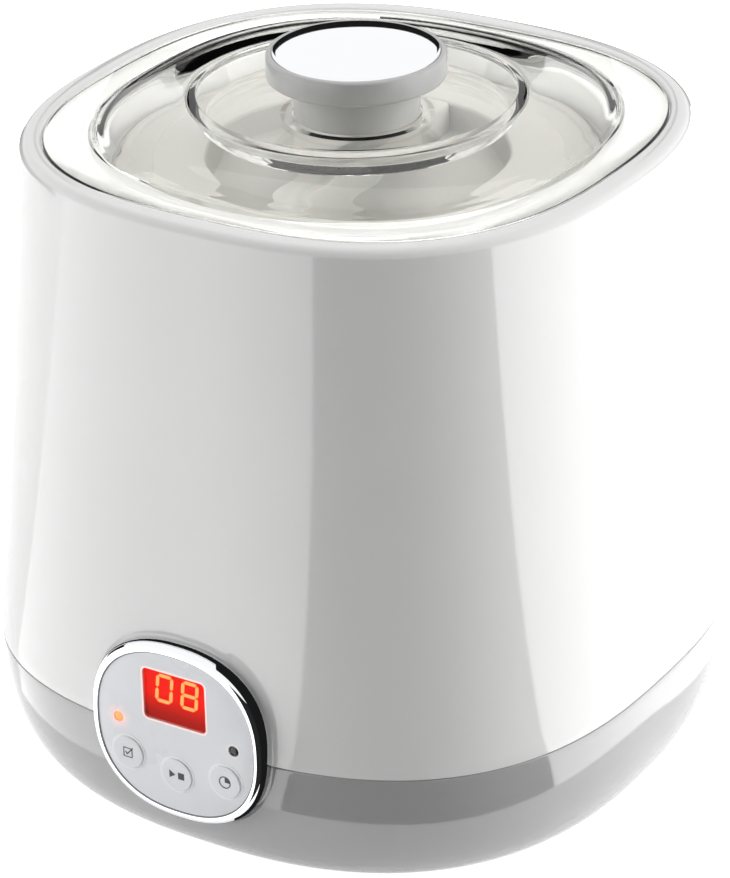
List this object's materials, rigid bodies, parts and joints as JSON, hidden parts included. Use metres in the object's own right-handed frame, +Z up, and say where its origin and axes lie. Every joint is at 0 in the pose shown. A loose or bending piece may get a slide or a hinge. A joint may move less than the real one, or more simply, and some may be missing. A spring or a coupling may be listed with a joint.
{
  "type": "yogurt maker",
  "caption": "Countertop yogurt maker: tapered rounded-square body with a heated well, a covered jar inside, a clear lid with a knob, and a chrome-ringed control panel.",
  "frame": {"origin": "on the table under the middle of the object, at the foot's underside", "axes": "+Z up, -Y towards the control panel, +Y towards the cord outlet, +X to the right of someone facing the panel"},
  "size_m": [0.162, 0.1665, 0.1773],
  "materials": {
    "white_shell": "gloss",
    "grey_shell": "gloss",
    "clear_plastic": "gloss",
    "knob_plastic": "satin",
    "chrome": "polished",
    "panel_plastic": "satin",
    "display_red": "gloss",
    "lamp_lit": "gloss",
    "lamp_dark": "gloss",
    "button_plastic": "satin",
    "well_metal": "satin",
    "steel": "plain",
    "heater_ceramic": "matt",
    "black_plastic": "matt",
    "blue_plastic": "matt",
    "yellow_tape": "matt",
    "green_plastic": "matt",
    "circuit_board": "satin",
    "lead_insulation": "matt",
    "ribbon": "matt",
    "rubber": "matt",
    "silicone": "matt",
    "jar_glass": "gloss",
    "cover_plastic": "satin"
  },
  "bodies": {
    "body": {"upper_housing": "white_shell", "base_shell": "grey_shell", "foot_back_right": "rubber", "foot_front_right": "rubber", "foot_back_left": "rubber", "foot_front_left": "rubber", "base_screws": "steel", "heated_well": "well_metal", "well_gasket": "silicone", "well_screws": "steel", "heater_disc": "heater_ceramic", "heater_plate": "well_metal", "temperature_sensor": "black_plastic", "sensor_clip": "steel", "thermal_fuse": "steel", "power_board": "circuit_board", "board_screws": "steel", "transformer": "yellow_tape", "relay": "blue_plastic", "board_fuse": "black_plastic", "terminal_block": "green_plastic", "main_capacitor": "black_plastic", "heater_leads": "lead_insulation", "cord_gland": "rubber", "panel_ring": "chrome", "panel_face": "panel_plastic", "display_window": "display_red", "display_module": "black_plastic", "yogurt_lamp": "lamp_lit", "wine_lamp": "lamp_dark", "control_board": "circuit_board", "panel_screws": "steel", "microcontroller": "black_plastic", "tact_switches": "black_plastic", "ribbon_cable": "ribbon"},
    "jar": {"jar": "jar_glass"},
    "cover": {"jar_cover": "cover_plastic", "jar_seal": "silicone"},
    "lid": {"lid": "clear_plastic", "knob": "knob_plastic", "knob_cap": "chrome", "knob_screw": "steel"},
    "function_button": {"function_button": "button_plastic"},
    "start_button": {"start_button": "button_plastic"},
    "time_button": {"time_button": "button_plastic"}
  },
  "joints": [
    {"name": "jar_lift", "type": "slide", "parent": "body", "child": "jar", "axis": [0, 0, 1], "range_m": [0, 0.15]},
    {"name": "cover_lift", "type": "slide", "parent": "jar", "child": "cover", "axis": [0, 0, 1], "range_m": [0, 0.06]},
    {"name": "lid_lift", "type": "slide", "parent": "cover", "child": "lid", "axis": [0, 0, 1], "range_m": [0, 0.12]},
    {"name": "function_press", "type": "slide", "parent": "body", "child": "function_button", "axis": [0, 1, 0], "range_m": [0, 0.0006], "stiffness_N_per_m": 2500},
    {"name": "start_press", "type": "slide", "parent": "body", "child": "start_button", "axis": [0, 1, 0], "range_m": [0, 0.0006], "stiffness_N_per_m": 2500},
    {"name": "time_press", "type": "slide", "parent": "body", "child": "time_button", "axis": [0, 1, 0], "range_m": [0, 0.0006], "stiffness_N_per_m": 2500}
  ]
}
